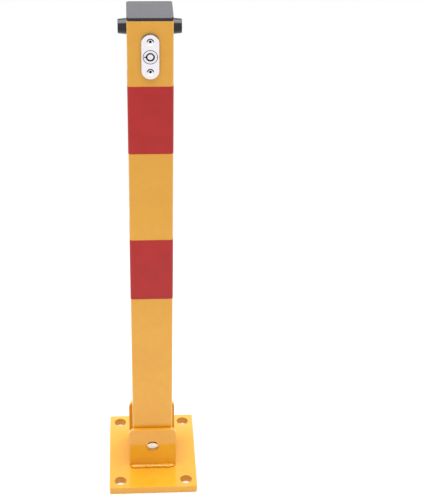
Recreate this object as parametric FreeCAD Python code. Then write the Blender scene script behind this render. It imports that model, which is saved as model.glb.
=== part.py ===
import FreeCAD, Part
import math
import os

# Fold-down parking bollard on a bolted base plate.
# Millimetres, +Z up, the lock faces -Y, the post folds towards +X or -X.
# The origin is at the centre of the underside of the base plate.

# Base plate
PLATE_X = 110.0
PLATE_Y = 144.0
PLATE_T = 9.5
PLATE_CORNER = 2.0
PLATE_EDGE = 0.3
ANCHOR_INSET = 13.5
ANCHOR_HOLE = 15.0

# Square post
POST_W = 50.0
POST_WALL = 2.0
POST_CORNER = 3.0
POST_LEN = 586.2
POST_EDGE = 0.4

# Hinge: the post turns on a plain pin between two welded ears
PIVOT_RISE = 31.0
POST_TAIL = 14.0
EAR_T = 5.0
EAR_SIDE = 4.5
EAR_OVER_PIVOT = 27.0
EAR_CORNER = 6.5
EAR_EDGE = 0.5
EAR_GAP = 0.5
WELD_LEG = 4.2
WELD_BULGE = 0.35
WELD_INSET = 1.0
PIN_D = 16.0
PIN_RUN = 0.1
PIN_RECESS = 1.0
PIN_CHAMFER = 0.8
PIN_CENTRE_D = 3.0
PIN_CENTRE_CONE = 60.0
BUSH_D = 24.0
BUSH_FIT = 0.05
BUSH_CLEAR = 0.7
ROLL_D = 4.0
ROLL_WALL = 0.8
ROLL_GAP = 0.8
ROLL_INSET = 1.0

# Reflective bands
BAND_H = 81.5
BAND_DOWN = 75.2
BAND_PITCH = 193.5
BAND_T = 0.25
BAND_SEAM = 0.8

# Top cap
CAP_T = 3.6
CAP_EDGE = 0.9
CAP_SKIRT = 10.0
CAP_WALL = 1.8
CAP_FIT = 0.15
CAP_RIB = 6.0
CAP_CORNER_EASE = 0.5

# Side bumpers
BUMPER_DOWN = 15.2
BUMPER_D_POST = 17.5
BUMPER_D_END = 15.5
BUMPER_L = 9.5
BUMPER_RIM = 0.8
BUMPER_SEAT = 4.6
BUMPER_BORE = 8.6
BUMPER_SCREW_L = 12.0
WASHER_D = 8.2
WASHER_T = 0.8
PAN_D = 7.6
PAN_H = 2.3
PAN_ROUND = 1.0

# M4 and M3 hardware
M4 = 4.0
M4_NUT_AF = 7.0
M4_NUT_H = 3.2
M4_SOCKET_AF = 2.5
M4_SOCKET_DEPTH = 1.5
M3 = 3.0
M3_NUT_AF = 5.5
M3_NUT_H = 2.4
M3_SOCKET_AF = 2.0
M3_SOCKET_DEPTH = 1.1
SCREW_CLEAR = 0.4
THREAD_FIT = 0.05
NUT_BEVEL = 30.0

# Lock, its plate and fixings
LOCK_DOWN = 39.8
LOCK_PLATE_W = 19.4
LOCK_PLATE_H = 51.6
LOCK_PLATE_T = 2.5
LOCK_PLATE_EDGE = 0.8
LOCK_SCREW_PITCH = 34.5
LOCK_SCREW_L = 10.0
LOCK_SCREW_HEAD = 6.0
LOCK_SCREW_SUNK = 0.8
CSK_FIT = 0.1
BARREL_D = 15.4
BARREL_EDGE = 0.3
BARREL_FIT = 0.1
BARREL_FLANGE_D = 17.4
BARREL_FLANGE_T = 1.2
BARREL_BODY_D = 15.0
BARREL_FLATS = 13.6
BARREL_REAR_WALL = 3.0
KEYWAY_D = 9.8
KEYWAY_DEPTH = 6.0
KEYWAY_NOTCH_W = 1.2
KEYWAY_NOTCH_R = 7.0
KEYWAY_NOTCH_DEPTH = 3.0
LOCK_NUT_AF = 19.0
LOCK_NUT_H = 3.5

# Turning plug, crank and crank pin
PLUG_RUN = 0.1
PLUG_POST_D = 6.9
PLUG_EDGE = 0.3
PLUG_RECESS = 0.2
PLUG_DIMPLE_D = 2.4
PLUG_DIMPLE = 0.4
PLUG_SHAFT_D = 7.8
PLUG_SQUARE = 6.0
TUMBLER_D = 1.1
TUMBLER_L = 8.0
TUMBLER_OUT = 1.0
TUMBLER_COUNT = 7
CRANK_R = 9.0
CRANK_START = 45.0
CRANK_T = 2.5
CRANK_HUB_D = 13.0
CRANK_EYE_D = 9.0
CRANK_GAP = 0.2
CRANK_PIN_D = 5.0
CRANK_PIN_PAST = 0.8
CRANK_PIN_EDGE = 0.4
CRANK_FIT = 0.05
CRANK_SCREW_L = 8.5
CRANK_SCREW_END = 0.5
CRANK_HEAD_D = 5.6
CRANK_HEAD_H = 1.8
CRANK_HEAD_ROUND = 0.6
CRANK_HEAD_CLEAR = 0.8

# Locking bar and its guides
BAR_W = 28.0
BAR_T = 5.0
BAR_RUN = 0.3
BAR_CLEAR = 7.0
BAR_LEAD = 2.0
BAR_SLOT_RUN = 0.3
CRANK_SLOT_RUN = 0.6
BAR_HEAD = 8.0
SOCKET_RUN_X = 2.2
SOCKET_RUN_Y = 0.6
SOCKET_CORNER = 1.5
GUIDE_H = 12.0
GUIDE_FIT = 0.15
GUIDE_CORNER = 1.5
GUIDE_OVER_PIVOT = 25.5
GUIDE_UNDER_LOCK = 36.4
GUIDE_HOLE = 9.0
GUIDE_HOLE_Y = 13.0

# How far a cutting shape runs past a face, and the least inner corner of a tube
PAST = 1.0
MIN_CORNER = 0.5

# Heights that follow from the base upwards
PIVOT_Z = PLATE_T + PIVOT_RISE
EAR_TOP = PIVOT_Z + EAR_OVER_PIVOT
POST_BOTTOM = PIVOT_Z - POST_TAIL
POST_TOP = POST_BOTTOM + POST_LEN
GUIDE_LOWER_Z = PIVOT_Z + GUIDE_OVER_PIVOT
BAR_TIP = PLATE_T + BAR_CLEAR

# Heights that follow from the top of the post downwards
BAND_UPPER_Z = POST_TOP - BAND_DOWN - BAND_H
BAND_LOWER_Z = BAND_UPPER_Z - BAND_PITCH
BUMPER_Z = POST_TOP - BUMPER_DOWN
LOCK_Z = POST_TOP - LOCK_DOWN
GUIDE_UPPER_Z = LOCK_Z - GUIDE_UNDER_LOCK - GUIDE_H
CRANK_LIFT = CRANK_R * math.sin(math.radians(CRANK_START))
BAR_TRAVEL = 2.0 * CRANK_LIFT
CRANK_PIN_Z = LOCK_Z + CRANK_LIFT
BAR_TOP = CRANK_PIN_Z + BAR_HEAD

# Widths and depths that follow from the post and its wall
ANCHOR_PITCH_X = PLATE_X - 2.0 * ANCHOR_INSET
ANCHOR_PITCH_Y = PLATE_Y - 2.0 * ANCHOR_INSET
HALF_W = POST_W / 2.0
INNER_W = POST_W - 2.0 * POST_WALL
HALF_IN = INNER_W / 2.0
INNER_CORNER = max(POST_CORNER - POST_WALL, MIN_CORNER)
EAR_W = POST_W + 2.0 * EAR_SIDE
EAR_IN = HALF_W + EAR_GAP
EAR_OUT = EAR_IN + EAR_T
PIN_HOLE = PIN_D + 2.0 * PIN_RUN
PIN_END = EAR_OUT - PIN_RECESS
BUSH_IN = BAR_T / 2.0 + BUSH_CLEAR
BUSH_LEN = HALF_IN - BUSH_IN
ROLL_Y = (BUSH_IN + HALF_IN) / 2.0
ROLL_HOLE = ROLL_D + 2.0 * BUSH_FIT
ROLL_LEN = BUSH_D - 2.0 * ROLL_INSET
M4_HOLE = M4 + SCREW_CLEAR
M3_HOLE = M3 + SCREW_CLEAR

# Depths of the lock, from the face of its plate to the bar
FACE_Y = -HALF_W - LOCK_PLATE_T
PLUG_TIP_Y = FACE_Y + PLUG_RECESS
PLUG_FACE_Y = FACE_Y + KEYWAY_DEPTH
CRANK_Y1 = -BAR_T / 2.0 - CRANK_HEAD_CLEAR - CRANK_HEAD_H
CRANK_Y0 = CRANK_Y1 - CRANK_T
BARREL_END_Y = CRANK_Y0 - CRANK_GAP
PLUG_D = KEYWAY_D - 2.0 * PLUG_RUN
CRANK_PIN_X = CRANK_R * math.cos(math.radians(CRANK_START))

X_AXIS = FreeCAD.Vector(1, 0, 0)
Y_AXIS = FreeCAD.Vector(0, 1, 0)
Z_AXIS = FreeCAD.Vector(0, 0, 1)


def vec(x, y, z):
    return FreeCAD.Vector(x, y, z)


def box(x0, x1, y0, y1, z0, z1):
    """Box between two opposite corners."""
    return Part.makeBox(x1 - x0, y1 - y0, z1 - z0, vec(x0, y0, z0))


def rod_x(d, x0, x1, y, z):
    """Cylinder along X."""
    return Part.makeCylinder(d / 2.0, x1 - x0, vec(x0, y, z), X_AXIS)


def rod_y(d, y0, y1, x, z):
    """Cylinder along Y."""
    return Part.makeCylinder(d / 2.0, y1 - y0, vec(x, y0, z), Y_AXIS)


def rod_z(d, z0, z1, x, y):
    """Cylinder along Z."""
    return Part.makeCylinder(d / 2.0, z1 - z0, vec(x, y, z0), Z_AXIS)


def rounded_block(w, d, r, z0, z1):
    """Upright block with a rounded rectangular outline, centred on Z."""
    block = box(-w / 2.0, w / 2.0, -d / 2.0, d / 2.0, z0, z1)
    uprights = [e for e in block.Edges if abs(e.tangentAt(e.FirstParameter).z) > 0.9]
    return block.makeFillet(r, uprights)


def rounded_tube(w, wall, r, z0, z1, edge=0.0):
    """Square tube with rounded corners, centred on Z, its outer end edges eased if asked."""
    outer = rounded_block(w, w, r, z0, z1)
    if edge > 0.0:
        outer = outer.makeFillet(edge, edges_at(outer, "Z", z0) + edges_at(outer, "Z", z1))
    inner_w = w - 2.0 * wall
    inner_r = max(r - wall, MIN_CORNER)
    return outer.cut(rounded_block(inner_w, inner_w, inner_r, z0 - PAST, z1 + PAST))


def stadium(w, h, y0, y1, x, z):
    """Upright plate across Y with two round ends."""
    half = (h - w) / 2.0
    body = box(x - w / 2.0, x + w / 2.0, y0, y1, z - half, z + half)
    for end in (z - half, z + half):
        body = body.fuse(rod_y(w, y0, y1, x, end))
    return body.removeSplitter()


def hex_prism(af, length, base, axis, turn=0.0):
    """Hexagonal prism from a base point along an axis."""
    radius = af / 2.0 / math.cos(math.radians(30.0))
    corners = []
    for i in range(7):
        angle = math.radians(60.0 * i + turn)
        corners.append(vec(radius * math.cos(angle), radius * math.sin(angle), 0.0))
    prism = Part.Face(Part.makePolygon(corners)).extrude(vec(0.0, 0.0, length))
    prism.Placement = FreeCAD.Placement(base, FreeCAD.Rotation(Z_AXIS, axis))
    return prism


def flatted_rod_y(d, flats, y0, y1, x, z):
    """Cylinder along Y with two flats, left and right."""
    rod = rod_y(d, y0, y1, x, z)
    return rod.common(box(x - flats / 2.0, x + flats / 2.0, y0, y1, z - d, z + d))


def edges_at(shape, axis, value, tol=0.01):
    """Edges that lie wholly in the plane axis = value."""
    found = []
    for edge in shape.Edges:
        low = getattr(edge.BoundBox, axis + "Min")
        high = getattr(edge.BoundBox, axis + "Max")
        if abs(low - value) < tol and abs(high - value) < tol:
            found.append(edge)
    return found


# Base

def base_plate():
    """Steel plate with four anchor holes and the socket for the locking bar."""
    plate = rounded_block(PLATE_X, PLATE_Y, PLATE_CORNER, 0.0, PLATE_T)
    plate = plate.makeFillet(PLATE_EDGE, edges_at(plate, "Z", PLATE_T))
    for sx in (-1, 1):
        for sy in (-1, 1):
            x = sx * ANCHOR_PITCH_X / 2.0
            y = sy * ANCHOR_PITCH_Y / 2.0
            plate = plate.cut(rod_z(ANCHOR_HOLE, -PAST, PLATE_T + PAST, x, y))
    socket_x = BAR_W + 2.0 * SOCKET_RUN_X
    socket_y = BAR_T + 2.0 * SOCKET_RUN_Y
    return plate.cut(rounded_block(socket_x, socket_y, SOCKET_CORNER, -PAST, PLATE_T + PAST))


def ear(side):
    """Upright ear with two rounded top corners, eased rims and the pin hole."""
    y0 = min(side * EAR_IN, side * EAR_OUT)
    y1 = y0 + EAR_T
    plate = box(-EAR_W / 2.0, EAR_W / 2.0, y0, y1, PLATE_T, EAR_TOP)
    corners = []
    for edge in edges_at(plate, "Z", EAR_TOP):
        if abs(edge.tangentAt(edge.FirstParameter).y) > 0.9:
            corners.append(edge)
    plate = plate.makeFillet(EAR_CORNER, corners)
    rims = edges_at(plate, "Y", y0) + edges_at(plate, "Y", y1)
    foot = edges_at(plate, "Z", PLATE_T)
    rims = [rim for rim in rims if not any(rim.isSame(edge) for edge in foot)]
    plate = plate.makeFillet(EAR_EDGE, rims)
    return plate.cut(rod_y(PIN_HOLE, y0 - PAST, y1 + PAST, 0.0, PIVOT_Z))


def ear_weld(side):
    """Fillet weld along the outer foot of an ear, slightly full, with rounded ends."""
    half = EAR_W / 2.0 - WELD_INSET - WELD_LEG
    reach = WELD_LEG / 2.0 + WELD_BULGE
    root = vec(-half, side * EAR_OUT, PLATE_T)
    toe = root + vec(0.0, side * WELD_LEG, 0.0)
    crown = root + vec(0.0, 0.0, WELD_LEG)
    middle = root + vec(0.0, side * reach, reach)
    face = Part.Arc(toe, middle, crown).toShape()
    section = Part.Face(Part.Wire([face, Part.makeLine(crown, root), Part.makeLine(root, toe)]))
    run = vec(2.0 * half, 0.0, 0.0)
    bead = section.extrude(run)
    bead = bead.fuse(section.revolve(root, Z_AXIS * side, 90.0))
    far = section.translated(run)
    return bead.fuse(far.revolve(root + run, Z_AXIS * -side, 90.0))


# Post

def post_tube():
    """Square tube with the holes for the pin, the lock and the bumper screws."""
    tube = rounded_tube(POST_W, POST_WALL, POST_CORNER, POST_BOTTOM, POST_TOP, POST_EDGE)
    tube = tube.cut(rod_y(PIN_HOLE, -POST_W, POST_W, 0.0, PIVOT_Z))
    tube = tube.cut(rod_x(M4_HOLE, -POST_W, POST_W, 0.0, BUMPER_Z))
    lock_hole = BARREL_BODY_D + 2.0 * BARREL_FIT
    lock_flats = BARREL_FLATS + 2.0 * BARREL_FIT
    tube = tube.cut(flatted_rod_y(lock_hole, lock_flats, -POST_W, 0.0, 0.0, LOCK_Z))
    for side in (-1, 1):
        z = LOCK_Z + side * LOCK_SCREW_PITCH / 2.0
        tube = tube.cut(rod_y(M3_HOLE, -POST_W, 0.0, 0.0, z))
    return tube


def red_band(z0):
    """Thin reflective band around the post, its ends meeting at the back."""
    width = POST_W + 2.0 * BAND_T
    band = rounded_tube(width, BAND_T, POST_CORNER + BAND_T, z0, z0 + BAND_H)
    half = BAND_SEAM / 2.0
    seam = box(-half, half, HALF_W - PAST, HALF_W + PAST, z0 - PAST, z0 + BAND_H + PAST)
    return band.cut(seam)


def top_cap():
    """Flat moulded cap, flush with the tube, with a ribbed skirt inside it."""
    flange = rounded_block(POST_W, POST_W, POST_CORNER, POST_TOP, POST_TOP + CAP_T)
    flange = flange.makeFillet(CAP_EDGE, edges_at(flange, "Z", POST_TOP + CAP_T))
    outer = INNER_W - 2.0 * CAP_FIT
    corner = INNER_CORNER + CAP_CORNER_EASE
    skirt = rounded_tube(outer, CAP_WALL, corner, POST_TOP - CAP_SKIRT, POST_TOP)
    reach = outer / 2.0 - CAP_WALL / 2.0
    rib_a = box(-reach, reach, -CAP_WALL / 2.0, CAP_WALL / 2.0, POST_TOP - CAP_RIB, POST_TOP)
    rib_b = box(-CAP_WALL / 2.0, CAP_WALL / 2.0, -reach, reach, POST_TOP - CAP_RIB, POST_TOP)
    return flange.fuse(skirt).fuse(rib_a).fuse(rib_b).removeSplitter()


# Bumpers

def bumper(side):
    """Tapered rubber bumper with a counterbored screw hole."""
    base = vec(side * HALF_W, 0.0, BUMPER_Z)
    axis = vec(side, 0.0, 0.0)
    body = Part.makeCone(BUMPER_D_POST / 2.0, BUMPER_D_END / 2.0, BUMPER_L, base, axis)
    body = body.makeFillet(BUMPER_RIM, edges_at(body, "X", side * (HALF_W + BUMPER_L)))
    body = body.cut(Part.makeCylinder(M4_HOLE / 2.0, BUMPER_L, base, axis))
    seat = vec(side * (HALF_W + BUMPER_SEAT), 0.0, BUMPER_Z)
    return body.cut(Part.makeCylinder(BUMPER_BORE / 2.0, BUMPER_L, seat, axis))


def bumper_washer(side):
    """Flat washer at the bottom of the counterbore."""
    base = vec(side * (HALF_W + BUMPER_SEAT), 0.0, BUMPER_Z)
    axis = vec(side, 0.0, 0.0)
    disc = Part.makeCylinder(WASHER_D / 2.0, WASHER_T, base, axis)
    return disc.cut(Part.makeCylinder(M4_HOLE / 2.0, WASHER_T, base, axis))


def bumper_screw(side):
    """Pan head M4 screw with a hexagon socket."""
    seat = HALF_W + BUMPER_SEAT + WASHER_T
    base = vec(side * seat, 0.0, BUMPER_Z)
    axis = vec(side, 0.0, 0.0)
    head = Part.makeCylinder(PAN_D / 2.0, PAN_H, base, axis)
    head = head.makeFillet(PAN_ROUND, edges_at(head, "X", side * (seat + PAN_H)))
    shank = Part.makeCylinder(M4 / 2.0, BUMPER_SCREW_L, base, -axis)
    socket_base = base + axis * (PAN_H - M4_SOCKET_DEPTH)
    socket = hex_prism(M4_SOCKET_AF, M4_SOCKET_DEPTH, socket_base, axis)
    return head.fuse(shank).cut(socket).removeSplitter()


def hex_nut(thread, af, height, base, axis):
    """Hexagon nut with bevelled corners on both faces."""
    half = height / 2.0
    face_r = af / 2.0
    wide_r = face_r + half / math.tan(math.radians(NUT_BEVEL))
    low = Part.makeCone(face_r, wide_r, half, base, axis)
    high = Part.makeCone(wide_r, face_r, half, base + axis * half, axis)
    nut = hex_prism(af, height, base, axis).common(low.fuse(high))
    return nut.cut(Part.makeCylinder(thread / 2.0 + THREAD_FIT, height, base, axis))


def bumper_nuts():
    """Nuts on the inner side walls, one for each bumper screw."""
    nuts = []
    for side in (-1, 1):
        base = vec(side * HALF_IN, 0.0, BUMPER_Z)
        nuts.append(hex_nut(M4, M4_NUT_AF, M4_NUT_H, base, vec(-side, 0.0, 0.0)))
    return Part.makeCompound(nuts)


# Pivot

def pivot_pin():
    """Plain pin with chamfered, centre-drilled ends and two cross holes."""
    pin = rod_y(PIN_D, -PIN_END, PIN_END, 0.0, PIVOT_Z)
    ends = edges_at(pin, "Y", PIN_END) + edges_at(pin, "Y", -PIN_END)
    pin = pin.makeChamfer(PIN_CHAMFER, ends)
    depth = PIN_CENTRE_D / 2.0 / math.tan(math.radians(PIN_CENTRE_CONE / 2.0))
    for side in (-1, 1):
        tip = vec(0.0, side * PIN_END, PIVOT_Z)
        pin = pin.cut(Part.makeCone(PIN_CENTRE_D / 2.0, 0.0, depth, tip, vec(0.0, -side, 0.0)))
        pin = pin.cut(rod_z(ROLL_HOLE, PIVOT_Z - PIN_D, PIVOT_Z + PIN_D, 0.0, side * ROLL_Y))
    return pin


def pivot_bush(side):
    """Thick bush welded inside the tube, between the wall and the bar."""
    y0 = min(side * BUSH_IN, side * HALF_IN)
    y1 = y0 + BUSH_LEN
    bush = rod_y(BUSH_D, y0, y1, 0.0, PIVOT_Z)
    bush = bush.cut(rod_y(PIN_D + 2.0 * BUSH_FIT, y0 - PAST, y1 + PAST, 0.0, PIVOT_Z))
    return bush.cut(rod_z(ROLL_HOLE, PIVOT_Z - BUSH_D, PIVOT_Z + BUSH_D, 0.0, side * ROLL_Y))


def roll_pins():
    """Slotted spring pins that hold the pivot pin in the bushes."""
    pins = []
    z0 = PIVOT_Z - ROLL_LEN / 2.0
    z1 = z0 + ROLL_LEN
    half = ROLL_GAP / 2.0
    for side in (-1, 1):
        y = side * ROLL_Y
        pin = rod_z(ROLL_D, z0, z1, 0.0, y)
        pin = pin.cut(rod_z(ROLL_D - 2.0 * ROLL_WALL, z0 - PAST, z1 + PAST, 0.0, y))
        pins.append(pin.cut(box(0.0, ROLL_D, y - half, y + half, z0 - PAST, z1 + PAST)))
    return Part.makeCompound(pins)


# Lock

def escutcheon():
    """Lock plate with round ends, a soft front edge and two countersunk holes."""
    plate = stadium(LOCK_PLATE_W, LOCK_PLATE_H, FACE_Y, -HALF_W, 0.0, LOCK_Z)
    plate = plate.makeFillet(LOCK_PLATE_EDGE, edges_at(plate, "Y", FACE_Y))
    window_r = BARREL_D / 2.0 + BARREL_FIT
    plate = plate.cut(rod_y(2.0 * window_r, FACE_Y - PAST, 0.0, 0.0, LOCK_Z))
    rim = Part.makeCone(window_r + BARREL_EDGE, window_r, BARREL_EDGE, vec(0.0, FACE_Y, LOCK_Z), Y_AXIS)
    plate = plate.cut(rim)
    step = -HALF_W - BARREL_FLANGE_T - BARREL_FIT
    plate = plate.cut(rod_y(BARREL_FLANGE_D + 2.0 * BARREL_FIT, step, 0.0, 0.0, LOCK_Z))
    for side in (-1, 1):
        z = LOCK_Z + side * LOCK_SCREW_PITCH / 2.0
        plate = plate.cut(rod_y(M3_HOLE, FACE_Y - PAST, 0.0, 0.0, z))
        sink = LOCK_SCREW_HEAD / 2.0 + LOCK_SCREW_SUNK + CSK_FIT
        plate = plate.cut(Part.makeCone(sink, 0.0, sink, vec(0.0, FACE_Y, z), Y_AXIS))
    return plate


def escutcheon_screws():
    """Countersunk M3 screws with hexagon sockets, sunk below the face of the plate."""
    screws = []
    for side in (-1, 1):
        z = LOCK_Z + side * LOCK_SCREW_PITCH / 2.0
        cone = (LOCK_SCREW_HEAD - M3) / 2.0
        y0 = FACE_Y + LOCK_SCREW_SUNK
        tip = vec(0.0, y0, z)
        head = Part.makeCone(LOCK_SCREW_HEAD / 2.0, M3 / 2.0, cone, tip, Y_AXIS)
        shank = rod_y(M3, y0 + cone, y0 + LOCK_SCREW_L, 0.0, z)
        socket = hex_prism(M3_SOCKET_AF, M3_SOCKET_DEPTH, tip, Y_AXIS, 30.0)
        screws.append(head.fuse(shank).cut(socket))
    return Part.makeCompound(screws)


def escutcheon_nuts():
    """Nuts behind the front wall, one for each lock plate screw."""
    nuts = []
    for side in (-1, 1):
        z = LOCK_Z + side * LOCK_SCREW_PITCH / 2.0
        nuts.append(hex_nut(M3, M3_NUT_AF, M3_NUT_H, vec(0.0, -HALF_IN, z), Y_AXIS))
    return Part.makeCompound(nuts)


def lock_barrel():
    """Fixed housing of the tubular lock, flanged behind the lock plate and flatted in the wall."""
    body = rod_y(BARREL_D, FACE_Y, -HALF_W - BARREL_FLANGE_T, 0.0, LOCK_Z)
    body = body.makeChamfer(BARREL_EDGE, edges_at(body, "Y", FACE_Y))
    body = body.fuse(rod_y(BARREL_FLANGE_D, -HALF_W - BARREL_FLANGE_T, -HALF_W, 0.0, LOCK_Z))
    body = body.fuse(flatted_rod_y(BARREL_BODY_D, BARREL_FLATS, -HALF_W, BARREL_END_Y, 0.0, LOCK_Z))
    body = body.cut(rod_y(KEYWAY_D, FACE_Y - PAST, BARREL_END_Y - BARREL_REAR_WALL, 0.0, LOCK_Z))
    body = body.cut(rod_y(PLUG_SHAFT_D + 2.0 * PLUG_RUN, FACE_Y, 0.0, 0.0, LOCK_Z))
    half = KEYWAY_NOTCH_W / 2.0
    notch_end = FACE_Y + KEYWAY_NOTCH_DEPTH
    notch = box(-KEYWAY_NOTCH_R, 0.0, FACE_Y - PAST, notch_end, LOCK_Z - half, LOCK_Z + half)
    return body.cut(notch).removeSplitter()


def lock_nut():
    """Thin hexagon nut that clamps the barrel to the front wall."""
    return hex_nut(BARREL_BODY_D, LOCK_NUT_AF, LOCK_NUT_H, vec(0.0, -HALF_IN, LOCK_Z), Y_AXIS)


def tumbler_places():
    """Centres of the tumbler pins around the plug."""
    radius = (PLUG_D + PLUG_POST_D) / 4.0
    places = []
    for i in range(TUMBLER_COUNT):
        angle = math.radians(90.0 + 360.0 * i / TUMBLER_COUNT)
        places.append((radius * math.cos(angle), LOCK_Z + radius * math.sin(angle)))
    return places


def lock_plug():
    """Turning plug: centre post, body, shaft and square end."""
    plug = rod_y(PLUG_POST_D, PLUG_TIP_Y, PLUG_FACE_Y, 0.0, LOCK_Z)
    plug = plug.makeChamfer(PLUG_EDGE, edges_at(plug, "Y", PLUG_TIP_Y))
    body_end = BARREL_END_Y - BARREL_REAR_WALL - PLUG_RUN
    shaft_end = CRANK_Y0 - CRANK_FIT
    plug = plug.fuse(rod_y(PLUG_D, PLUG_FACE_Y, body_end, 0.0, LOCK_Z))
    plug = plug.fuse(rod_y(PLUG_SHAFT_D, body_end, shaft_end, 0.0, LOCK_Z))
    half = PLUG_SQUARE / 2.0
    plug = plug.fuse(box(-half, half, shaft_end, CRANK_Y1 - CRANK_FIT, LOCK_Z - half, LOCK_Z + half))
    plug = plug.cut(rod_y(PLUG_DIMPLE_D, PLUG_TIP_Y - PAST, PLUG_TIP_Y + PLUG_DIMPLE, 0.0, LOCK_Z))
    hole_end = PLUG_FACE_Y - TUMBLER_OUT + TUMBLER_L
    for x, z in tumbler_places():
        plug = plug.cut(rod_y(TUMBLER_D + 2.0 * CRANK_FIT, PLUG_FACE_Y - PAST, hole_end, x, z))
    hole_start = CRANK_Y1 - CRANK_SCREW_L - CRANK_SCREW_END
    screw_hole = rod_y(M3 + 2.0 * THREAD_FIT, hole_start, CRANK_Y1, 0.0, LOCK_Z)
    return plug.cut(screw_hole).removeSplitter()


def lock_tumblers():
    """Ring of tumbler pins at the bottom of the keyway."""
    y0 = PLUG_FACE_Y - TUMBLER_OUT
    pins = []
    for x, z in tumbler_places():
        pins.append(rod_y(TUMBLER_D, y0, y0 + TUMBLER_L, x, z))
    return Part.makeCompound(pins)


# Crank

def crank():
    """Flat crank with a square hole for the plug and an eye for its pin."""
    hub = rod_y(CRANK_HUB_D, CRANK_Y0, CRANK_Y1, 0.0, LOCK_Z)
    eye = rod_y(CRANK_EYE_D, CRANK_Y0, CRANK_Y1, CRANK_R, LOCK_Z)
    half = CRANK_EYE_D / 2.0
    arm = box(0.0, CRANK_R, CRANK_Y0, CRANK_Y1, LOCK_Z - half, LOCK_Z + half)
    lever = hub.fuse(eye).fuse(arm).removeSplitter()
    lever.rotate(vec(0.0, 0.0, LOCK_Z), Y_AXIS, -CRANK_START)
    half = PLUG_SQUARE / 2.0 + CRANK_FIT
    y0 = CRANK_Y0 - PAST
    y1 = CRANK_Y1 + PAST
    lever = lever.cut(box(-half, half, y0, y1, LOCK_Z - half, LOCK_Z + half))
    return lever.cut(rod_y(CRANK_PIN_D + 2.0 * CRANK_FIT, y0, y1, CRANK_PIN_X, CRANK_PIN_Z))


def crank_pin():
    """Pin riveted in the crank, reaching through the slot of the bar."""
    end = BAR_T / 2.0 + CRANK_PIN_PAST
    pin = rod_y(CRANK_PIN_D, CRANK_Y0, end, CRANK_PIN_X, CRANK_PIN_Z)
    return pin.makeChamfer(CRANK_PIN_EDGE, edges_at(pin, "Y", end))


def crank_screw():
    """Small screw that keeps the crank on the plug."""
    top = CRANK_Y1 + CRANK_HEAD_H
    head = rod_y(CRANK_HEAD_D, CRANK_Y1, top, 0.0, LOCK_Z)
    head = head.makeFillet(CRANK_HEAD_ROUND, edges_at(head, "Y", top))
    shank = rod_y(M3, CRANK_Y1 - CRANK_SCREW_L, CRANK_Y1, 0.0, LOCK_Z)
    bottom = vec(0.0, top - M3_SOCKET_DEPTH, LOCK_Z)
    socket = hex_prism(M3_SOCKET_AF, M3_SOCKET_DEPTH, bottom, Y_AXIS)
    return head.fuse(shank).cut(socket).removeSplitter()


# Locking bar

def bar_outline():
    """Outline of the bar in the X-Z plane, from its bevelled tip to the top."""
    half = BAR_W / 2.0
    right = [(half - BAR_LEAD, BAR_TIP), (half, BAR_TIP + BAR_LEAD), (half, BAR_TOP)]
    left = [(-x, z) for x, z in reversed(right)]
    points = [vec(x, -BAR_T / 2.0, z) for x, z in right + left]
    points.append(points[0])
    return points


def locking_bar():
    """Flat bar with a slot over the pivot pin and a crank slot, its foot the bolt."""
    bar = Part.Face(Part.makePolygon(bar_outline())).extrude(vec(0.0, BAR_T, 0.0))
    pin_slot_w = PIN_D + 2.0 * BAR_SLOT_RUN
    middle = PIVOT_Z + BAR_TRAVEL / 2.0
    bar = bar.cut(stadium(pin_slot_w, pin_slot_w + BAR_TRAVEL, -BAR_T, BAR_T, 0.0, middle))
    slot_r = CRANK_PIN_D / 2.0 + CRANK_SLOT_RUN
    slot = box(CRANK_PIN_X, CRANK_R, -BAR_T, BAR_T, CRANK_PIN_Z - slot_r, CRANK_PIN_Z + slot_r)
    for x in (CRANK_PIN_X, CRANK_R):
        slot = slot.fuse(rod_y(2.0 * slot_r, -BAR_T, BAR_T, x, CRANK_PIN_Z))
    return bar.cut(slot.removeSplitter())


def bar_guide(z0):
    """Moulded block pressed into the tube, with a slot for the bar."""
    width = INNER_W - 2.0 * GUIDE_FIT
    block = rounded_block(width, width, GUIDE_CORNER, z0, z0 + GUIDE_H)
    half_x = BAR_W / 2.0 + BAR_RUN
    half_y = BAR_T / 2.0 + BAR_RUN
    low = z0 - PAST
    high = z0 + GUIDE_H + PAST
    block = block.cut(box(-half_x, half_x, -half_y, half_y, low, high))
    for side in (-1, 1):
        block = block.cut(rod_z(GUIDE_HOLE, low, high, 0.0, side * GUIDE_HOLE_Y))
    return block


def both_sides(make):
    """The same piece on both sides of the post."""
    return Part.makeCompound([make(-1), make(1)])


def build_parts():
    """Every piece by its name, in its place on the upright bollard."""
    return {
        "base_plate": base_plate(),
        "front_ear": ear(-1),
        "rear_ear": ear(1),
        "front_weld": ear_weld(-1),
        "rear_weld": ear_weld(1),
        "post_tube": post_tube(),
        "upper_red_band": red_band(BAND_UPPER_Z),
        "lower_red_band": red_band(BAND_LOWER_Z),
        "top_cap": top_cap(),
        "left_bumper": bumper(-1),
        "right_bumper": bumper(1),
        "bumper_washers": both_sides(bumper_washer),
        "bumper_screws": both_sides(bumper_screw),
        "bumper_nuts": bumper_nuts(),
        "pivot_pin": pivot_pin(),
        "front_bush": pivot_bush(-1),
        "rear_bush": pivot_bush(1),
        "pivot_roll_pins": roll_pins(),
        "escutcheon": escutcheon(),
        "escutcheon_screws": escutcheon_screws(),
        "escutcheon_nuts": escutcheon_nuts(),
        "lock_barrel": lock_barrel(),
        "lock_nut": lock_nut(),
        "lock_plug": lock_plug(),
        "lock_tumblers": lock_tumblers(),
        "crank": crank(),
        "crank_pin": crank_pin(),
        "crank_screw": crank_screw(),
        "locking_bar": locking_bar(),
        "lower_bar_guide": bar_guide(GUIDE_LOWER_Z),
        "upper_bar_guide": bar_guide(GUIDE_UPPER_Z),
    }


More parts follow.
